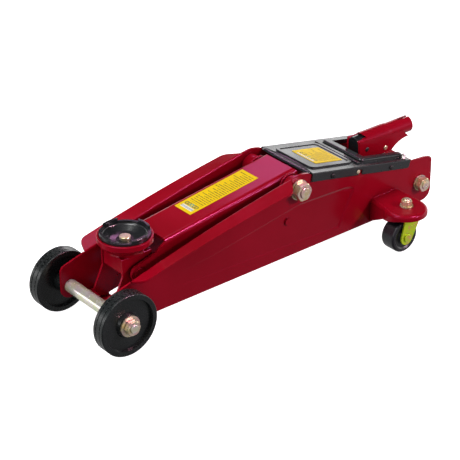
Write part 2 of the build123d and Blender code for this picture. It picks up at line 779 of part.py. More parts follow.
def handle_socket():
    """Sheet socket: a round tube at the rear that opens into two cheeks round the pins."""
    inner = SOCKET_HALF - SOCKET_T
    body = tube_shape(SOCKET_HALF, TUBE_R) + slab_y(cheek_outline(), -SOCKET_HALF, SOCKET_HALF)
    body -= bar_x(TUBE_BORE_R, TUBE_REAR_X, TUBE_FRONT_X, 0, TUBE_Z)
    body -= bar_x(inner, TUBE_FRONT_X, SOCKET_FRONT_X, 0, TUBE_Z)
    body -= block(back(533), SOCKET_FRONT_X, -inner, inner, 90, TUBE_Z)
    body -= block(TUBE_REAR_X, TUBE_REAR_X + 20, -2, 2, TUBE_Z, TUBE_Z + 20)
    notch = Polygon(
        (back(478), 160),
        (back(480.5), 143),
        (back(486.6), TUBE_Z + 8.5),
        (SOCKET_FRONT_X, TUBE_Z + 6.5),
        (back(460), 160),
        align=None,
    )
    body -= slab_y(notch, -20, 20)
    body -= bar_y(SMALL_PIN_R + FIT, -30, 30, SOCKET_X, SOCKET_Z)
    return body - bar_y(SMALL_PIN_R, -30, 30, PLUNGER_X, PUMP_PIN_Z)


def pump_roller():
    """Roller between the cheeks that presses the plunger."""
    half = SOCKET_HALF - SOCKET_T - 0.4
    roller = bar_y(PUMP_ROLLER_R, -half, half, PLUNGER_X, PUMP_PIN_Z)
    return roller - bar_y(SMALL_PIN_R, -20, 20, PLUNGER_X, PUMP_PIN_Z)


def domed_pin(half_length, x, z):
    """Riveted cross pin with rounded ends."""
    pin = bar_y(SMALL_PIN_R, -half_length, half_length, x, z)
    ends = pin.faces().filter_by(Axis.Y)
    return fillet(ends[0].edges() + ends[1].edges(), 1.2)


def socket_insert():
    """Dark folded stiffener across the front of the socket, with a lip under the notch."""
    inner = SOCKET_HALF - SOCKET_T
    front = back(469.6)
    rear = back(472.6)
    lip_rear = back(492)
    panel = slab_x(Pos(0, TUBE_Z) * Circle(inner), rear, front)
    panel += block(rear, front, -inner, inner, 110, TUBE_Z)
    ring = Circle(inner) - Circle(inner - 2)
    lip = slab_x(Pos(0, TUBE_Z) * ring, lip_rear, rear)
    return panel + (lip & block(lip_rear, rear, -inner, inner, TUBE_Z, 150))


# ---- wheels ----------------------------------------------------------------------------------
def front_wheel():
    """Wheel along Y at the left: rounded tread with grooves, raised rim, sunk disc and hub."""
    rim_r = WHEEL_R - 8.5
    hub_r = 16.5
    sunk = 4.5
    bore = SPINDLE_R + FIT
    profile = Polygon(
        (bore, PLATE_OUT + GAP),
        (hub_r - 3, PLATE_OUT + GAP),
        (hub_r - 1, WHEEL_IN + sunk),
        (rim_r, WHEEL_IN + sunk),
        (rim_r + 1.5, WHEEL_IN),
        (WHEEL_R, WHEEL_IN),
        (WHEEL_R, WHEEL_OUT),
        (rim_r + 1.5, WHEEL_OUT),
        (rim_r, WHEEL_OUT - sunk),
        (hub_r + 2, WHEEL_OUT - sunk),
        (hub_r, HUB_OUT),
        (bore, HUB_OUT),
        align=None,
    )
    for y in (WHEEL_IN, WHEEL_OUT):
        profile = fillet(profile.vertices().sort_by_distance((WHEEL_R, y, 0))[0], 1.2)
    for y in (70.0, 78.0):
        profile -= Pos(WHEEL_R, y) * Rectangle(2.4, 1.4)
    wheel = revolve(profile, Axis.Y)
    return Pos(AXLE_X, 0, WHEEL_R) * wheel


def caster_bracket_left():
    """Pressed bracket welded to the side plate: flat top, rounded end and a deep front skirt."""
    tip_r = 32.0
    knee_y = CASTER_Y - 17
    front = BRACKET_X + 23
    rear = BRACKET_X - tip_r
    tip = Pos(BRACKET_X, CASTER_Y) * Circle(tip_r)
    root = Polygon(
        (front, PLATE_OUT),
        (BRACKET_X + 27, knee_y),
        (rear, CASTER_Y),
        (rear, PLATE_OUT),
        align=None,
    )
    plan = tip + root
    solid = slab_z(plan, 0, BRACKET_TOP)
    low_root = 28.0
    low_knee = 46.5
    low_tip = 56.0
    below_skirt = Polygon(
        (PLATE_OUT - 1, 0),
        (CASTER_Y + 40, 0),
        (CASTER_Y + 40, low_tip),
        (CASTER_Y + 17, low_tip),
        (knee_y, low_knee),
        (PLATE_OUT - 1, low_root),
        align=None,
    )
    solid -= slab_x(below_skirt, BRACKET_X - 60, BRACKET_X + 60)
    rim = solid.faces().sort_by(Axis.Z)[-1].edges()
    solid = fillet(rim.filter_by(lambda e: e.center().Y > PLATE_OUT + 1), 5)
    hollow = slab_z(offset(plan, -BRACKET_T), 0, BRACKET_TOP - BRACKET_T)
    open_rear = block(rear - 5, rear + 20, PLATE_OUT, CASTER_Y - 20, 0, BRACKET_TOP - 14)
    solid -= hollow
    solid -= open_rear
    return solid - bar_z(STUD_R, 0, 100, CASTER_X, CASTER_Y)


def caster_fork_left():
    """Bent fork: round-cornered top plate and two tapered cheeks."""
    low_y, high_y = CASTER_Y - FORK_HALF, CASTER_Y + FORK_HALF
    rear, front = CASTER_X - 15.5, CASTER_X + 17.5
    plate = block(rear, front, low_y, high_y, FORK_TOP - 3, FORK_TOP)
    fork = fillet(plate.edges().filter_by(Axis.Z), 4)
    top = FORK_TOP - 1
    taper = Polygon((rear + 1, top), (front - 1, top), (CASTER_WHEEL_X, 30), align=None)
    shape = make_hull((taper + dot(CASTER_WHEEL_X, CASTER_WHEEL_R, 11)).edges())
    for side in SIDES:
        outer = CASTER_Y + side * FORK_HALF
        fork += slab_y(shape, outer, outer - side * FORK_T)
    fork -= bar_z(STUD_R + FIT, 40, 60, CASTER_X, CASTER_Y)
    return fork - bar_y(4, CASTER_Y - 20, CASTER_Y + 20, CASTER_WHEEL_X, CASTER_WHEEL_R)


def caster_pin_left():
    """Riveted wheel pin of the caster."""
    pin = bar_y(4, CASTER_Y - FORK_HALF, CASTER_Y + FORK_HALF, CASTER_WHEEL_X, CASTER_WHEEL_R)
    for side in SIDES:
        outer = CASTER_Y + side * FORK_HALF
        head = bar_y(6, outer, outer + side * 2, CASTER_WHEEL_X, CASTER_WHEEL_R)
        pin += chamfer(head.edges().filter_by(GeomType.CIRCLE), 0.6)
    return pin


def caster_wheel_left():
    """Solid caster wheel with rounded shoulders."""
    bore = 4 + FIT
    half = CASTER_WHEEL_HALF
    dip = half - 1.5
    right = [(bore, -half), (11, -half), (13, -dip), (17, -dip), (19, -half), (CASTER_WHEEL_R, -half)]
    left = [(radius, -y) for radius, y in reversed(right)]
    profile = Polygon(*right, *left, align=None)
    for y in (-half, half):
        profile = fillet(profile.vertices().sort_by_distance((CASTER_WHEEL_R, y, 0))[0], 3)
    return Pos(CASTER_WHEEL_X, CASTER_Y, CASTER_WHEEL_R) * revolve(profile, Axis.Y)


def swivel_stud_left():
    """Stud that hangs the fork from the bracket."""
    head_low = FORK_TOP - 5.4
    stud = bar_z(STUD_R, head_low, 77, CASTER_X, CASTER_Y)
    head = bar_z(8.5, head_low, FORK_TOP - 3 - GAP, CASTER_X, CASTER_Y)
    return chamfer(stud.edges().sort_by(Axis.Z)[-1], 0.8) + head


def bearing_cup_left():
    """Ball race housing between bracket and fork."""
    cup = bar_z(14, FORK_TOP + GAP, BRACKET_TOP - BRACKET_T, CASTER_X, CASTER_Y)
    cup = fillet(cup.edges().sort_by(Axis.Z)[0], 2)
    return cup - bar_z(STUD_R, 40, 80, CASTER_X, CASTER_Y)


def on_both_swivels(piece):
    """A +Z piece placed on the top of each caster bracket."""
    return Compound(children=[Pos(CASTER_X, side * CASTER_Y, 0) * piece for side in SIDES])


def save(name, piece):
    """Write one sub-part."""
    export_step(piece, f"parts/{name}.step")


os.makedirs("parts", exist_ok=True)
left_only = {
    "side_plate": side_plate_left(),
    "front_wheel": front_wheel(),
    "caster_bracket": caster_bracket_left(),
    "caster_fork": caster_fork_left(),
    "caster_pin": caster_pin_left(),
    "caster_wheel": caster_wheel_left(),
    "swivel_stud": swivel_stud_left(),
    "bearing_cup": bearing_cup_left(),
}
for name, piece in left_only.items():
    save(name + "_left", piece)
    save(name + "_right", mirrored(piece))
save("front_tie_plate", front_tie_plate())
save("front_axle", front_axle())
save("axle_washers", pair(washer(15, AXLE_THREAD_R, 2.3), AXLE_X, HUB_OUT + 0.4, WHEEL_R))
save("axle_nuts", pair(hex_nut(19, AXLE_THREAD_R, 8), AXLE_X, HUB_OUT + 2.7, WHEEL_R))
save("pivot_shaft", pivot_shaft())
save("pivot_washers", pair(washer(15, PIVOT_THREAD_R, 2.5), PIVOT_X, PLATE_OUT, PIVOT_Z))
save("pivot_nuts", pair(hex_nut(24, PIVOT_THREAD_R, 11), PIVOT_X, PLATE_OUT + 2.5, PIVOT_Z))
save("rear_bolt", rear_bolt())
save("rear_bolt_washers", pair(washer(12, PIN_R, 2.3), REAR_BOLT_X, PLATE_OUT, REAR_BOLT_Z))
save("rear_bolt_nuts", pair(hex_nut(19, PIN_R, 10), REAR_BOLT_X, PLATE_OUT + 2.3, REAR_BOLT_Z))
save("link_pins", link_pins())
save("cover", cover())
save("cover_label", cover_label())
save("cover_screws", cover_screws())
save("lift_arm", lift_arm())
save("arm_label", arm_label())
save("pivot_tube", pivot_tube())
save("crank_plates", crank_plates())
save("crank_pin", headed_pin(21, PIVOT_X + CRANK_DX, PIVOT_Z + CRANK_DZ))
save("ram_roller", ram_roller())
save("yoke_pin", headed_pin(ARM_HALF, YOKE_PIN_X, YOKE_PIN_Z))
save("saddle_yoke", saddle_yoke())
save("saddle_cup", saddle_cup())
save("saddle_bolt", saddle_bolt())
save("link_bar_left", link_bar(1))
save("link_bar_right", link_bar(-1))
save("link_front_pins", link_front_pins())
save("ram_piston", ram_piston())
save("ram_cylinder", ram_cylinder())
save("reservoir_tube", reservoir_tube())
save("gland_nut", gland_nut())
save("hydraulic_block", hydraulic_block())
save("release_valve", release_valve())
save("pump_plunger", pump_plunger())
save("pump_spring", pump_spring())
save("handle_socket", handle_socket())
save("pump_roller", pump_roller())
save("pump_pin", domed_pin(SOCKET_HALF + 1.4, PLUNGER_X, PUMP_PIN_Z))
save("socket_pin", domed_pin(SOCKET_HALF + 1.4, SOCKET_X, SOCKET_Z))
save("socket_insert", socket_insert())
save("swivel_washers", on_both_swivels(Pos(0, 0, BRACKET_TOP) * washer(9.5, STUD_R, 2)))
save("swivel_nuts", on_both_swivels(Pos(0, 0, BRACKET_TOP + 2) * hex_nut(14, STUD_R, 8)))
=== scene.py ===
import json
import math

import bpy
from mathutils import Matrix, Vector


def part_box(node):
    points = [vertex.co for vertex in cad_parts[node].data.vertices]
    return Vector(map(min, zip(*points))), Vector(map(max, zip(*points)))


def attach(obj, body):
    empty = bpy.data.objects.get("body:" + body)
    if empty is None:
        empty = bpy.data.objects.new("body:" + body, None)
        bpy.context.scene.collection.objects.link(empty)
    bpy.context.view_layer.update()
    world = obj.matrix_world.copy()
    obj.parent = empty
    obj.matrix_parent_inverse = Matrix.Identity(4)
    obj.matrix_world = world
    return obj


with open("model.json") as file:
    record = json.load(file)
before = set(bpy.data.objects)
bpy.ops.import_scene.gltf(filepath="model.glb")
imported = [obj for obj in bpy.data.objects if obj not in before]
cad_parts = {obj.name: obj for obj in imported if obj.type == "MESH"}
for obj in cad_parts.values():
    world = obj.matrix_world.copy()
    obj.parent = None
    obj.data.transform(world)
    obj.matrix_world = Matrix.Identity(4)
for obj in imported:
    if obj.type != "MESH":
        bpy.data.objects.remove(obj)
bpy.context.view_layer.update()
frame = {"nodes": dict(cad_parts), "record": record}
nodes = frame["nodes"]

MM = 0.001
SIDES = ((1, "left"), (-1, "right"))
WHEEL_BRIDGES = 46
NUT_EDGE = 0.45 * MM
PRESSED_EDGE = 0.6 * MM
CAMERA_PLACE = (1.43525, 1.726, 1.303)
CAMERA_TARGET = (0.02905, 0, 0.068)
CAMERA_ROLL = -0.005
LENS_MM = 142.5
LIGHT_TARGET = (0, 0, 0.08)
VIEWER_SIDE = (0.64, 0.77, 0)
FLOOR_HALF = 16.0


# ---- shader helpers ----------------------------------------------------------------------------
def fill_ramp(ramp, stops):
    """Give a colour ramp these (position, colour) stops."""
    ramp.elements.remove(ramp.elements[1])
    first, *others = stops
    ramp.elements[0].position = first[0]
    ramp.elements[0].color = (*first[1], 1)
    for position, colour in others:
        ramp.elements.new(position).color = (*colour, 1)


class Shader:
    """One node material with a Principled surface, and short calls that add and link nodes."""

    def __init__(self, name, **surface):
        self.material = bpy.data.materials.new(name)
        self.material.use_nodes = True
        self.tree = self.material.node_tree
        self.surface = self.tree.nodes["Principled BSDF"]
        for socket, value in surface.items():
            self.surface.inputs[socket.replace("_", " ")].default_value = value
        self.place = self.tree.nodes.new("ShaderNodeTexCoord").outputs["Object"]

    def link(self, source, target):
        self.tree.links.new(source, target)

    def feed(self, socket, source):
        self.link(source, self.surface.inputs[socket])

    def put(self, value, socket):
        if isinstance(value, bpy.types.NodeSocket):
            self.link(value, socket)
        else:
            socket.default_value = value

    def math(self, operation, a, b=0.0, clamp=False):
        node = self.tree.nodes.new("ShaderNodeMath")
        node.operation = operation
        node.use_clamp = clamp
        self.put(a, node.inputs[0])
        self.put(b, node.inputs[1])
        return node.outputs[0]

    def blend(self, factor, a, b):
        node = self.tree.nodes.new("ShaderNodeMix")
        node.data_type = "RGBA"
        self.put(factor, node.inputs["Factor"])
        for value, name in ((a, "A"), (b, "B")):
            socket = next(s for s in node.inputs if s.name == name and s.type == "RGBA")
            self.put(value if isinstance(value, bpy.types.NodeSocket) else (*value, 1), socket)
        return next(s for s in node.outputs if s.type == "RGBA")

    def stretched(self, scale):
        node = self.tree.nodes.new("ShaderNodeVectorMath")
        node.operation = "MULTIPLY"
        self.link(self.place, node.inputs[0])
        node.inputs[1].default_value = scale
        return node.outputs[0]

    def noise(self, scale, detail=3.0, stretch=None):
        node = self.tree.nodes.new("ShaderNodeTexNoise")
        self.link(self.stretched(stretch) if stretch else self.place, node.inputs["Vector"])
        node.inputs["Scale"].default_value = scale
        node.inputs["Detail"].default_value = detail
        return node.outputs["Fac"]

    def spread(self, source, low, high, to_low=0.0, to_high=1.0):
        node = self.tree.nodes.new("ShaderNodeMapRange")
        for name, value in (("From Min", low), ("From Max", high), ("To Min", to_low), ("To Max", to_high)):
            node.inputs[name].default_value = value
        self.link(source, node.inputs["Value"])
        return node.outputs["Result"]

    def ramp(self, source, *stops):
        node = self.tree.nodes.new("ShaderNodeValToRGB")
        fill_ramp(node.color_ramp, stops)
        self.link(source, node.inputs["Fac"])
        return node.outputs["Color"]

    def bump(self, *layers):
        """Layers are (height, strength, distance in metres), from the coarsest to the finest."""
        normal = None
        for height, strength, distance in layers:
            node = self.tree.nodes.new("ShaderNodeBump")
            node.inputs["Strength"].default_value = strength
            node.inputs["Distance"].default_value = distance
            self.link(height, node.inputs["Height"])
            if normal:
                self.link(normal, node.inputs["Normal"])
            normal = node.outputs["Normal"]
        self.feed("Normal", normal)

    def axes(self):
        node = self.tree.nodes.new("ShaderNodeSeparateXYZ")
        self.link(self.place, node.inputs[0])
        return node.outputs

    def between(self, value, low, high):
        """1 where value lies between the two limits."""
        above = self.math("GREATER_THAN", value, low)
        below = self.math("LESS_THAN", value, high)
        return self.math("MULTIPLY", above, below)

    def painted_crevice_shade(self, reach, dark, colour):
        """Painted shade: the colour, darkened towards `dark` of itself where surfaces close in within reach
        (ambient occlusion).
        """
        node = self.tree.nodes.new("ShaderNodeAmbientOcclusion")
        node.samples = 6
        node.inputs["Distance"].default_value = reach
        open_share = self.spread(node.outputs["AO"], 0.25, 0.85, dark, 1.0)
        scaled = self.tree.nodes.new("ShaderNodeVectorMath")
        scaled.operation = "SCALE"
        self.link(colour, scaled.inputs[0])
        self.link(open_share, scaled.inputs["Scale"])
        return scaled.outputs[0]

    def both(self, *masks):
        product = masks[0]
        for mask in masks[1:]:
            product = self.math("MULTIPLY", product, mask)
        return product

    def either(self, *masks):
        total = masks[0]
        for mask in masks[1:]:
            total = self.math("MAXIMUM", total, mask)
        return total


# ---- materials ---------------------------------------------------------------------------------
def red_paint():
    """Gloss crimson enamel: slight unevenness in the coat, orange peel and a pink sheen, with painted shade
    darkening the colour where surfaces close in.
    """
    paint = Shader("red_paint", Specular_IOR_Level=0.3, Specular_Tint=(1.0, 0.25, 0.7, 1), IOR=1.45)
    cloud = paint.noise(9.0, 4.0)
    fine = paint.noise(160.0, 2.0)
    coat = paint.ramp(cloud, (0.3, (0.28, 0.0016, 0.009)), (0.72, (0.36, 0.0026, 0.0145)))
    # painted shade: the base colour darkens where surfaces close in
    paint.feed("Base Color", paint.painted_crevice_shade(0.022, 0.3, coat))
    paint.feed("Roughness", paint.spread(paint.math("ADD", cloud, fine), 0.6, 1.4, 0.15, 0.24))
    peel = paint.noise(620.0, 1.0)
    paint.bump((cloud, 0.1, 0.002), (peel, 0.05, 0.0001))
    return paint.material


def black_paint():
    """Satin black enamel of the saddle cup, the socket's stiffener and the cover's rolled lip."""
    paint = Shader("black_paint", Specular_IOR_Level=0.8, IOR=1.5)
    cloud = paint.noise(22.0, 4.0)
    grain = paint.noise(900.0, 2.0)
    paint.feed("Base Color", paint.ramp(cloud, (0.3, (0.007, 0.008, 0.0095)), (0.75, (0.013, 0.015, 0.018))))
    paint.feed("Roughness", paint.spread(cloud, 0.3, 0.7, 0.17, 0.25))
    paint.bump((cloud, 0.12, 0.002), (grain, 0.12, 0.0001))
    return paint.material


def cover_paint():
    """The cover's satin enamel, duller where its front edge rolls down; painted shade darkens the colour
    along that rolled edge and where surfaces close in.
    """
    paint = Shader("cover_paint", Specular_IOR_Level=0.6, IOR=1.5)
    cloud = paint.noise(22.0, 4.0)
    grain = paint.noise(900.0, 2.0)
    axes = paint.axes()
    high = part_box("cover")[1]
    from_edge = paint.math("SUBTRACT", high.x, axes["X"])
    across = paint.math("DIVIDE", axes["Y"], high.y)
    bow = paint.math("SUBTRACT", 1.0, paint.math("POWER", across, 2.0))
    flat = paint.spread(paint.math("DIVIDE", from_edge, paint.math("ADD", bow, 0.25)), 4 * MM, 9 * MM)
    enamel = paint.ramp(cloud, (0.3, (0.012, 0.014, 0.016)), (0.75, (0.02, 0.023, 0.026)))
    # painted shade: near-black along the rolled front edge, and darker where surfaces close in
    paint.feed("Base Color", paint.painted_crevice_shade(0.006, 0.3, paint.blend(flat, (0.003, 0.003, 0.0035), enamel)))
    paint.feed("Roughness", paint.spread(paint.math("ADD", cloud, flat), 0.3, 1.7, 0.6, 0.2))
    paint.bump((flat, 0.9, 0.0025), (cloud, 0.12, 0.002), (grain, 0.12, 0.0001))
    return paint.material


def zinc(name, *stops):
    """Yellow-passivated zinc: an iridescent film that drifts between the given colours, with painted shade
    darkening it where surfaces close in.
    """
    plate = Shader(name, Metallic=0.65)
    film = plate.noise(85.0, 5.0)
    fleck = plate.noise(420.0, 3.0)
    drift = plate.math("ADD", plate.math("MULTIPLY", film, 0.75), plate.math("MULTIPLY", fleck, 0.25))
    # painted shade: the film darkens where surfaces close in
    plate.feed("Base Color", plate.painted_crevice_shade(0.004, 0.12, plate.ramp(drift, *stops)))
    plate.feed("Roughness", plate.spread(fleck, 0.3, 0.7, 0.16, 0.28))
    plate.bump((fleck, 0.12, 0.0001))
    return plate.material


def zinc_yellow():
    return zinc(
        "zinc_yellow",
        (0.34, (0.62, 0.74, 0.42)),
        (0.43, (0.85, 0.66, 0.36)),
        (0.5, (0.95, 0.86, 0.64)),
        (0.57, (0.86, 0.52, 0.5)),
        (0.66, (0.74, 0.82, 0.72)),
    )


def zinc_fork():
    return zinc(
        "zinc_fork",
        (0.36, (0.5, 0.95, 0.06)),
        (0.46, (0.78, 0.9, 0.02)),
        (0.53, (0.6, 0.95, 0.04)),
        (0.6, (0.9, 0.5, 0.12)),
        (0.68, (0.7, 0.85, 0.6)),
    )


def zinc_axle():
    return zinc(
        "zinc_axle",
        (0.36, (0.8, 0.92, 0.64)),
        (0.47, (0.95, 0.9, 0.66)),
        (0.55, (0.95, 0.92, 0.86)),
        (0.62, (0.9, 0.72, 0.76)),
        (0.7, (0.84, 0.92, 0.74)),
    )


def turned_steel():
    """Bright machined steel with fine turning marks and a thin oil stain."""
    steel = Shader("turned_steel", Metallic=1.0)
    stain = steel.noise(40.0, 4.0)
    lines = steel.noise(700.0, 2.0, stretch=(0.2, 3.0, 0.2))
    steel.feed("Base Color", steel.ramp(stain, (0.35, (0.34, 0.32, 0.29)), (0.7, (0.58, 0.57, 0.55))))
    steel.feed("Roughness", steel.spread(lines, 0.3, 0.7, 0.22, 0.4))
    steel.bump((lines, 0.25, 0.0001))
    return steel.material


def dark_steel():
    """Blackened steel of the small screws and the ram's cylinder."""
    steel = Shader("dark_steel", Metallic=0.85)
    stain = steel.noise(60.0, 4.0)
    grain = steel.noise(800.0, 2.0)
    steel.feed("Base Color", steel.ramp(stain, (0.3, (0.03, 0.03, 0.033)), (0.75, (0.085, 0.082, 0.08))))
    steel.feed("Roughness", steel.spread(stain, 0.3, 0.7, 0.32, 0.5))
    steel.bump((grain, 0.3, 0.0001))
    return steel.material


def wheel_iron(node):
    """Black enamelled cast wheel: fine cast texture, small bridges across the tread's grooves drawn lighter
    as a painted highlight on their tops, and painted shade where surfaces close in.
    """
    iron = Shader(node + "_iron", Specular_IOR_Level=0.5)
    low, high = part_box(node)
    middle = (low + high) / 2
    axes = iron.axes()
    rise = iron.math("SUBTRACT", axes["Z"], middle.z)
    turn = iron.math("ARCTAN2", rise, iron.math("SUBTRACT", axes["X"], middle.x))
    out = iron.math("ABSOLUTE", axes["Y"])
    bridges = []
    for groove, phase in ((70, 0.0), (78, 0.5)):
        count = iron.math("MULTIPLY", turn, WHEEL_BRIDGES / math.tau)
        share = iron.math("FRACT", iron.math("ADD", count, phase))
        band = iron.between(out, (groove - 0.9) * MM, (groove + 0.9) * MM)
        bridges.append(iron.both(band, iron.between(share, 0.3, 0.72)))
    bridge = iron.either(*bridges)
    cloud = iron.noise(35.0, 5.0)
    cast = iron.noise(420.0, 3.0)
    enamel = iron.ramp(cloud, (0.3, (0.006, 0.0075, 0.008)), (0.75, (0.015, 0.019, 0.02)))
    # painted highlight: the bridges are drawn lighter than the enamel, as if lit
    enamel = iron.blend(iron.math("MULTIPLY", bridge, 0.8), enamel, (0.11, 0.12, 0.12))
    # painted shade: darker where surfaces close in
    iron.feed("Base Color", iron.painted_crevice_shade(0.006, 0.25, enamel))
    iron.feed("Roughness", iron.spread(cast, 0.3, 0.7, 0.2, 0.36))
    iron.bump((cloud, 0.15, 0.001), (cast, 0.3, 0.00018), (bridge, 0.6, 0.0008))
    return iron.material


def caster_tyre():
    """Hard black tyre of the casters, with scuffs round the tread."""
    tyre = Shader("caster_tyre", Specular_IOR_Level=0.5)
    cloud = tyre.noise(60.0, 4.0)
    scuff = tyre.noise(240.0, 3.0, stretch=(0.4, 2.5, 0.4))
    tyre.feed("Base Color", tyre.ramp(cloud, (0.3, (0.008, 0.008, 0.011)), (0.75, (0.02, 0.019, 0.026))))
    tyre.feed("Roughness", tyre.spread(scuff, 0.3, 0.7, 0.25, 0.4))
    tyre.bump((scuff, 0.2, 0.00015))
    return tyre.material


def printed(name, node, header, icon_row, line_count, ink, sheet):
    """Glossy label with rows of unreadable print across it, a pale header bar and small icons.

    header and icon_row are (low, high) shares of the label's length from its rear end."""
    label = Shader(name, Roughness=0.42, Specular_IOR_Level=0.07)
    low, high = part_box(node)
    axes = label.axes()
    along = label.spread(axes["X"], low.x, high.x)
    across = label.spread(axes["Y"], low.y, high.y)

    rows = label.math("FRACT", label.math("MULTIPLY", along, float(line_count)))
    row_number = label.math("FLOOR", label.math("MULTIPLY", along, float(line_count)))
    line = label.between(rows, 0.3, 0.75)
    gaps = label.tree.nodes.new("ShaderNodeTexNoise")
    place = label.tree.nodes.new("ShaderNodeCombineXYZ")
    label.link(label.math("MULTIPLY", row_number, 3.7), place.inputs["X"])
    label.link(label.math("MULTIPLY", across, 26.0), place.inputs["Y"])
    label.link(place.outputs[0], gaps.inputs["Vector"])
    gaps.inputs["Scale"].default_value = 1.0
    words = label.math("GREATER_THAN", gaps.outputs["Fac"], 0.44)
    ends = label.tree.nodes.new("ShaderNodeTexWhiteNoise")
    ends.noise_dimensions = "1D"
    label.link(row_number, ends.inputs["W"])
    row_end = label.spread(ends.outputs["Value"], 0.0, 1.0, 0.0, 0.42)
    started = label.math("GREATER_THAN", across, row_end)
    margin = label.both(label.between(across, 0.09, 0.92), label.between(along, 0.04, icon_row[0] - 0.02))
    print_mask = label.both(line, words, started, margin)

    bar = label.both(label.between(along, *header), label.between(across, 0.15, 0.85))
    ticks = label.between(label.math("FRACT", label.math("MULTIPLY", across, 15.0)), 0.3, 0.68)
    middle = (header[0] + header[1]) / 2
    reach = (header[1] - header[0]) * 0.22
    tick_mask = label.both(bar, ticks, label.between(along, middle - reach, middle + reach))

    icon_middle = (icon_row[0] + icon_row[1]) / 2
    icon_half = (icon_row[1] - icon_row[0]) / 2
    length = high.x - low.x
    width = high.y - low.y
    icons = []
    for centre in (0.22, 0.37, 0.52, 0.67, 0.8):
        dx = label.math("MULTIPLY", label.math("SUBTRACT", along, icon_middle), length)
        dy = label.math("MULTIPLY", label.math("SUBTRACT", across, centre), width)
        square = label.math("ADD", label.math("POWER", dx, 2.0), label.math("POWER", dy, 2.0))
        distance = label.math("SQRT", square)
        radius = icon_half * length
        icons.append(label.between(distance, radius * 0.45, radius * 0.95))
    icon_mask = label.either(icons[0], icons[1], icons[3], icons[4])

    tint = label.noise(30.0, 2.0)
    colour = label.blend(tint, sheet[0], sheet[1])
    colour = label.blend(label.math("MULTIPLY", print_mask, 0.8), colour, ink)
    colour = label.blend(bar, colour, (0.75, 0.78, 0.76))
    colour = label.blend(tick_mask, colour, (0.12, 0.13, 0.14))
    colour = label.blend(label.math("MULTIPLY", icon_mask, 0.85), colour, (0.1, 0.12, 0.06))
    colour = label.blend(label.math("MULTIPLY", icons[2], 0.9), colour, (0.09, 0.35, 0.28))
    label.feed("Base Color", colour)
    label.bump((label.noise(300.0, 2.0), 0.12, 0.0001))
    return label.material


def cream_plastic():
    """Off-white moulded plastic of the strip's push rivet."""
    cap = Shader("cream_plastic", Roughness=0.4)
    cap.feed("Base Color", cap.ramp(cap.noise(300.0), (0.3, (0.62, 0.5, 0.32)), (0.7, (0.75, 0.63, 0.42))))
    cap.bump((cap.noise(700.0), 0.2, 0.0001))
    return cap.material


RED = red_paint()
BLACK = black_paint()
ZINC = zinc_yellow()
BY_SLOT = {
    "red_paint": RED,
    "black_paint": BLACK,
    "zinc_yellow": ZINC,
    "turned_steel": turned_steel(),
    "dark_steel": dark_steel(),
}
FORK_ZINC = zinc_fork()
TYRE = caster_tyre()
BY_NODE = {
    "cover": cover_paint(),
    "front_wheel_left": wheel_iron("front_wheel_left"),
    "front_wheel_right": wheel_iron("front_wheel_right"),
    "front_axle": zinc_axle(),
    "caster_fork_left": FORK_ZINC,
    "caster_fork_right": FORK_ZINC,
    "caster_pin_left": FORK_ZINC,
    "caster_pin_right": FORK_ZINC,
    "caster_wheel_left": TYRE,
    "caster_wheel_right": TYRE,
    "arm_label": printed(
        "arm_label_print", "arm_label", (0.905, 0.955), (0.835, 0.895), 30,
        (0.2, 0.13, 0.01), ((0.8, 0.56, 0.001), (0.86, 0.63, 0.004)),
    ),
    "cover_label": printed(
        "cover_label_print", "cover_label", (0.9, 0.955), (0.76, 0.87), 13,
        (0.36, 0.24, 0.01), ((0.78, 0.55, 0.002), (0.86, 0.62, 0.005)),
    ),
}


# ---- finish of the CAD nodes -------------------------------------------------------------------
def soften(piece, width):
    """Small rounded edges, so that pressed and cut edges catch the light."""
    weld = piece.modifiers.new("weld", "WELD")
    weld.merge_threshold = 0.01 * MM
    flat = piece.modifiers.new("flat", "DECIMATE")
    flat.decimate_type = "DISSOLVE"
    flat.angle_limit = math.radians(0.6)
    bevel = piece.modifiers.new("bevel", "BEVEL")
    bevel.width = width
    bevel.segments = 2
    bevel.limit_method = "ANGLE"
    bevel.angle_limit = math.radians(38)
    bevel.harden_normals = False
    normal = piece.modifiers.new("normal", "WEIGHTED_NORMAL")
    normal.keep_sharp = True


PRESSED = (
    "side_plate_left", "side_plate_right", "lift_arm", "handle_socket", "saddle_yoke", "cover",
    "caster_bracket_left", "caster_bracket_right", "socket_insert",
)
SLOT_OF = {row["node"]: row["material_slot"] for row in frame["record"]["subparts"]}
for name, piece in nodes.items():
    material = BY_NODE.get(name, BY_SLOT.get(SLOT_OF[name]))
    for socket in piece.material_slots:
        socket.material = material
    if name.endswith("_nuts"):
        soften(piece, NUT_EDGE)
    elif name in PRESSED:
        soften(piece, PRESSED_EDGE)


# ---- small pieces of the jack that the CAD nodes don't show ------------------------------------
AXLE_RADIUS = 9.5 * MM
AXLE_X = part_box("front_axle")[0].x + AXLE_RADIUS
COVER_FRONT = Vector((AXLE_X - 341 * MM, 0, 144.5 * MM))
COVER_REAR = Vector((AXLE_X - 532 * MM, 0, 104.5 * MM))
PIVOT_BACK, PIVOT_UP = 316, 127.5
PIVOT_TUBE_RADIUS = 15.9
ARM_WALL = 34.2
BRACKET_FRONT = 456.6
BRACKET_TOP = 65.2
SIDE_PLATE = 54.4
COVER_ALONG = (COVER_REAR - COVER_FRONT).normalized()
COVER_UP = Vector((0, 1, 0)).cross(COVER_ALONG)


def on_jack(back, y, z):
    """A point given in millimetres behind the front axle, from the centre plane and above the floor."""
    return Vector((AXLE_X - back * MM, y * MM, z * MM))


def on_cover(along, y, up):
    """A point given in millimetres along the cover from its front edge, across it and above it."""
    return COVER_FRONT + COVER_ALONG * (along * MM) + Vector((0, y * MM, 0)) + COVER_UP * (up * MM)


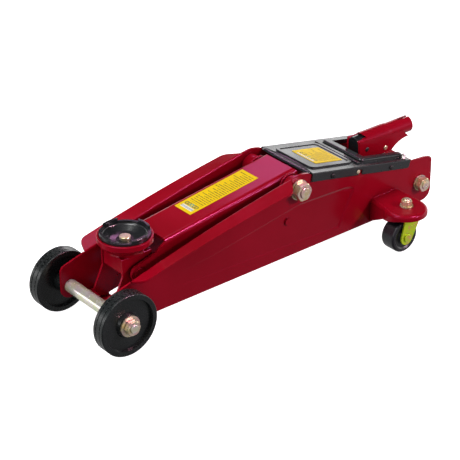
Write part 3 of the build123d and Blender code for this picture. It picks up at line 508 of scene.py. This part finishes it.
def add_piece(name, points, faces, material, body):
    mesh = bpy.data.meshes.new(name)
    mesh.from_pydata([tuple(p) for p in points], [], faces)
    for face in mesh.polygons:
        face.use_smooth = True
    mesh.materials.append(material)
    mesh.update()
    piece = bpy.data.objects.new(name, mesh)
    bpy.context.scene.collection.objects.link(piece)
    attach(piece, body)
    return piece


def grid_faces(rows, columns, closed_rows, closed_columns):
    """Quads between neighbours of a grid of points that is stored row by row."""
    faces = []
    for i in range(rows if closed_rows else rows - 1):
        for j in range(columns if closed_columns else columns - 1):
            a, b = i * columns, ((i + 1) % rows) * columns
            k = (j + 1) % columns
            faces.append((a + j, a + k, b + k, b + j))
    return faces


def bead(name, path, radius, normal, body, closed=False):
    """Lumpy weld bead along a path that lies in the plane with this normal."""
    around = 10
    points = []
    count = len(path)
    for i, centre in enumerate(path):
        ahead = path[(i + 1) % count] if closed or i < count - 1 else centre
        behind = path[i - 1] if closed or i > 0 else centre
        run = (ahead - behind).normalized()
        side = run.cross(normal)
        at_end = not closed and i in (0, count - 1)
        lump = 0.3 if at_end else 1 + 0.2 * math.sin(i * 1.9) + 0.1 * math.sin(i * 0.83 + 1)
        for j in range(around):
            angle = math.tau * j / around
            points.append(centre + (side * math.cos(angle) + normal * math.sin(angle)) * radius * lump)
    add_piece(name, points, grid_faces(count, around, closed, True), RED, body)


def turned(name, profile, place, axis, material, body):
    """Piece turned about an axis; the profile is (radius, height) in millimetres from the base up."""
    around = 32
    across = axis.orthogonal().normalized()
    third = axis.cross(across)
    points = []
    for radius, height in profile:
        for j in range(around):
            angle = math.tau * j / around
            ring = (across * math.cos(angle) + third * math.sin(angle)) * radius * MM
            points.append(place + ring + axis * (height * MM))
    add_piece(name, points, grid_faces(len(profile), around, False, True), material, body)


def pivot_welds():
    """Beads where the pivot tube passes through the walls of the lift arm."""
    steps = 84
    for side, word in SIDES:
        ring = []
        for i in range(steps):
            angle = math.tau * i / steps
            back = PIVOT_BACK + PIVOT_TUBE_RADIUS * math.cos(angle)
            up = PIVOT_UP + PIVOT_TUBE_RADIUS * math.sin(angle)
            ring.append(on_jack(back, side * ARM_WALL, up))
        bead("pivot_weld_" + word, ring, 1.9 * MM, Vector((0, 1, 0)), "arm", closed=True)


def bracket_welds():
    """Beads between each caster bracket and its side plate, along the top and down the front."""
    for side, word in SIDES:
        y = side * SIDE_PLATE
        top = [on_jack(460 + 1.6 * i, y, BRACKET_TOP) for i in range(31)]
        front = [on_jack(BRACKET_FRONT, y, 31 + 1.6 * i) for i in range(20)]
        bead("bracket_weld_top_" + word, top, 1.3 * MM, Vector((0, 1, 0)), "frame")
        bead("bracket_weld_front_" + word, front, 1.2 * MM, Vector((0, 1, 0)), "frame")


def strip_rivets():
    """Pale push rivets in the break of the cover's side strips."""
    cap = cream_plastic()
    dome = ((0, -1.5), (1.6, -1.5), (1.6, 0.0), (2.9, 0.0), (2.9, 0.5), (2.5, 1.0), (1.5, 1.4), (0, 1.5))
    for side, word in SIDES:
        place = on_cover(90.0, side * 55.9, -7.2)
        turned("strip_rivet_" + word, dome, place, Vector((0, side, 0)), cap, "frame")


def cover_bolts():
    """Small round-headed bolts at the rear corners of the cover."""
    washer = ((0, -3), (1.9, -3), (1.9, 0), (4.2, 0), (4.2, 0.9))
    head = washer + ((3.0, 1.0), (3.0, 5.4), (2.4, 6.4), (1.2, 6.9), (0, 7.0))
    for side, word in SIDES:
        place = on_cover(187.5, side * 47.5, 0.1)
        turned("cover_bolt_" + word, head, place, COVER_UP, BY_SLOT["turned_steel"], "frame")


def cover_lip():
    """Rolled front edge of the cover, bowed towards the arm."""
    half, roll, bow, rise = 50.0, 3.4, 2.0, math.radians(82)
    rows, columns = 25, 9
    points = []
    for i in range(rows):
        share = 2 * i / (rows - 1) - 1
        for j in range(columns):
            angle = rise * j / (columns - 1)
            along = 0.3 - roll * math.sin(angle) - bow * (1 - share * share) * math.sin(angle)
            points.append(on_cover(along, half * share, -roll * (1 - math.cos(angle))))
    faces = grid_faces(rows, columns, False, False)
    lip = add_piece("cover_lip", points, faces, BLACK, "frame")
    skin = lip.modifiers.new("skin", "SOLIDIFY")
    skin.thickness = 1.1 * MM
    skin.offset = -1


pivot_welds()
bracket_welds()
strip_rivets()
cover_bolts()
cover_lip()


# ---- camera, lights and stage ------------------------------------------------------------------
def look(thing, place, target, roll=0.0):
    turn = (Vector(target) - Vector(place)).to_track_quat("-Z", "Y")
    thing.location = place
    thing.rotation_mode = "QUATERNION"
    thing.rotation_quaternion = turn @ Matrix.Rotation(roll, 4, "Z").to_quaternion()


def camera():
    data = bpy.data.cameras.new("camera")
    data.lens = LENS_MM
    data.sensor_width = 36
    eye = bpy.data.objects.new("camera", data)
    bpy.context.scene.collection.objects.link(eye)
    look(eye, CAMERA_PLACE, CAMERA_TARGET, CAMERA_ROLL)
    bpy.context.scene.camera = eye


def softbox(name, place, width, height, power, tone=(1, 1, 1), mirrored_only=False):
    """Rectangular light aimed at the jack; with mirrored_only it shows in reflections alone."""
    data = bpy.data.lights.new(name, "AREA")
    data.shape = "RECTANGLE"
    data.size = width
    data.size_y = height
    data.energy = power
    data.color = tone
    light = bpy.data.objects.new(name, data)
    bpy.context.scene.collection.objects.link(light)
    light.visible_diffuse = not mirrored_only
    look(light, place, LIGHT_TARGET)


def studio():
    """Soft surround: low and even ahead of the jack; behind it, a bright band at the horizon.

    Stops are (height from straight down at 0 to straight up at 1, level)."""
    world = bpy.data.worlds.new("studio")
    bpy.context.scene.world = world
    world.use_nodes = True
    tree = world.node_tree
    background = tree.nodes["Background"]
    direction = tree.nodes.new("ShaderNodeTexCoord").outputs["Generated"]
    split = tree.nodes.new("ShaderNodeSeparateXYZ")
    tree.links.new(direction, split.inputs[0])
    height = tree.nodes.new("ShaderNodeMapRange")
    height.inputs["From Min"].default_value = -1
    tree.links.new(split.outputs["Z"], height.inputs["Value"])
    facing = tree.nodes.new("ShaderNodeVectorMath")
    facing.operation = "DOT_PRODUCT"
    facing.inputs[1].default_value = VIEWER_SIDE
    tree.links.new(direction, facing.inputs[0])
    side = tree.nodes.new("ShaderNodeMapRange")
    side.interpolation_type = "SMOOTHSTEP"
    side.inputs["From Min"].default_value = -0.25
    side.inputs["From Max"].default_value = 0.45
    tree.links.new(facing.outputs["Value"], side.inputs["Value"])
    levels = []
    band = ((0.53, 1.8), (0.63, 1.8))
    behind = ((0, 0.3), (0.5, 0.5), *band, (0.65, 0.1), (0.7, 0.04), (0.88, 0.04), (1, 0.12))
    ahead = ((0, 0.05), (0.3, 0.07), (0.46, 0.14), (0.55, 0.28), (0.8, 0.26), (1.0, 0.2))
    for stops in (behind, ahead):
        ramp = tree.nodes.new("ShaderNodeValToRGB")
        fill_ramp(ramp.color_ramp, [(position, (level,) * 3) for position, level in stops])
        tree.links.new(height.outputs["Result"], ramp.inputs["Fac"])
        levels.append(ramp.outputs["Color"])
    join = tree.nodes.new("ShaderNodeMix")
    join.data_type = "RGBA"
    tree.links.new(side.outputs["Result"], join.inputs["Factor"])
    for level, name in zip(levels, ("A", "B")):
        tree.links.new(level, next(s for s in join.inputs if s.name == name and s.type == "RGBA"))
    tree.links.new(next(s for s in join.outputs if s.type == "RGBA"), background.inputs["Color"])
    background.inputs["Strength"].default_value = 1.5


def floor():
    """Large pale floor. It only shows to the camera, so the lights alone shape the object."""
    mesh = bpy.data.meshes.new("floor")
    half = FLOOR_HALF
    corners = [(-half, -half, 0), (half, -half, 0), (half, half, 0), (-half, half, 0)]
    mesh.from_pydata(corners, [], [(0, 1, 2, 3)])
    ground = bpy.data.objects.new("floor", mesh)
    bpy.context.scene.collection.objects.link(ground)
    ground.location.z = -0.0004
    pale = Shader("floor_pale", Roughness=0.9, Specular_IOR_Level=0.1, Emission_Strength=1.0)
    pale.surface.inputs["Emission Color"].default_value = (1, 1, 1, 1)
    pale.feed("Base Color", pale.ramp(pale.noise(4.0), (0.3, (0.78, 0.78, 0.78)), (0.7, (0.8, 0.8, 0.8))))
    mesh.materials.append(pale.material)
    ground.visible_diffuse = False
    ground.visible_glossy = False
    ground.visible_shadow = False


bpy.context.scene.view_settings.view_transform = "Standard"
camera()
studio()
floor()
softbox("rim", (-0.85, 1.3, 0.85), 0.35, 0.15, 12.5, (1, 0.7, 0.87))
softbox("overhead", (0.6, -0.1, 1.3), 0.6, 0.6, 9)
softbox("front", (1.5, 0.1, 0.5), 0.6, 0.5, 4)
softbox("sheen", (-0.78, -1.02, 1.03), 0.3, 0.3, 1.1, (1, 0.4, 0.85))
softbox("back", (-0.3, -1.0, 2.3), 0.9, 0.7, 6)
softbox("bends", (-0.5, 0.95, 1.55), 0.4, 0.12, 26, (1, 0.45, 0.6), mirrored_only=True)
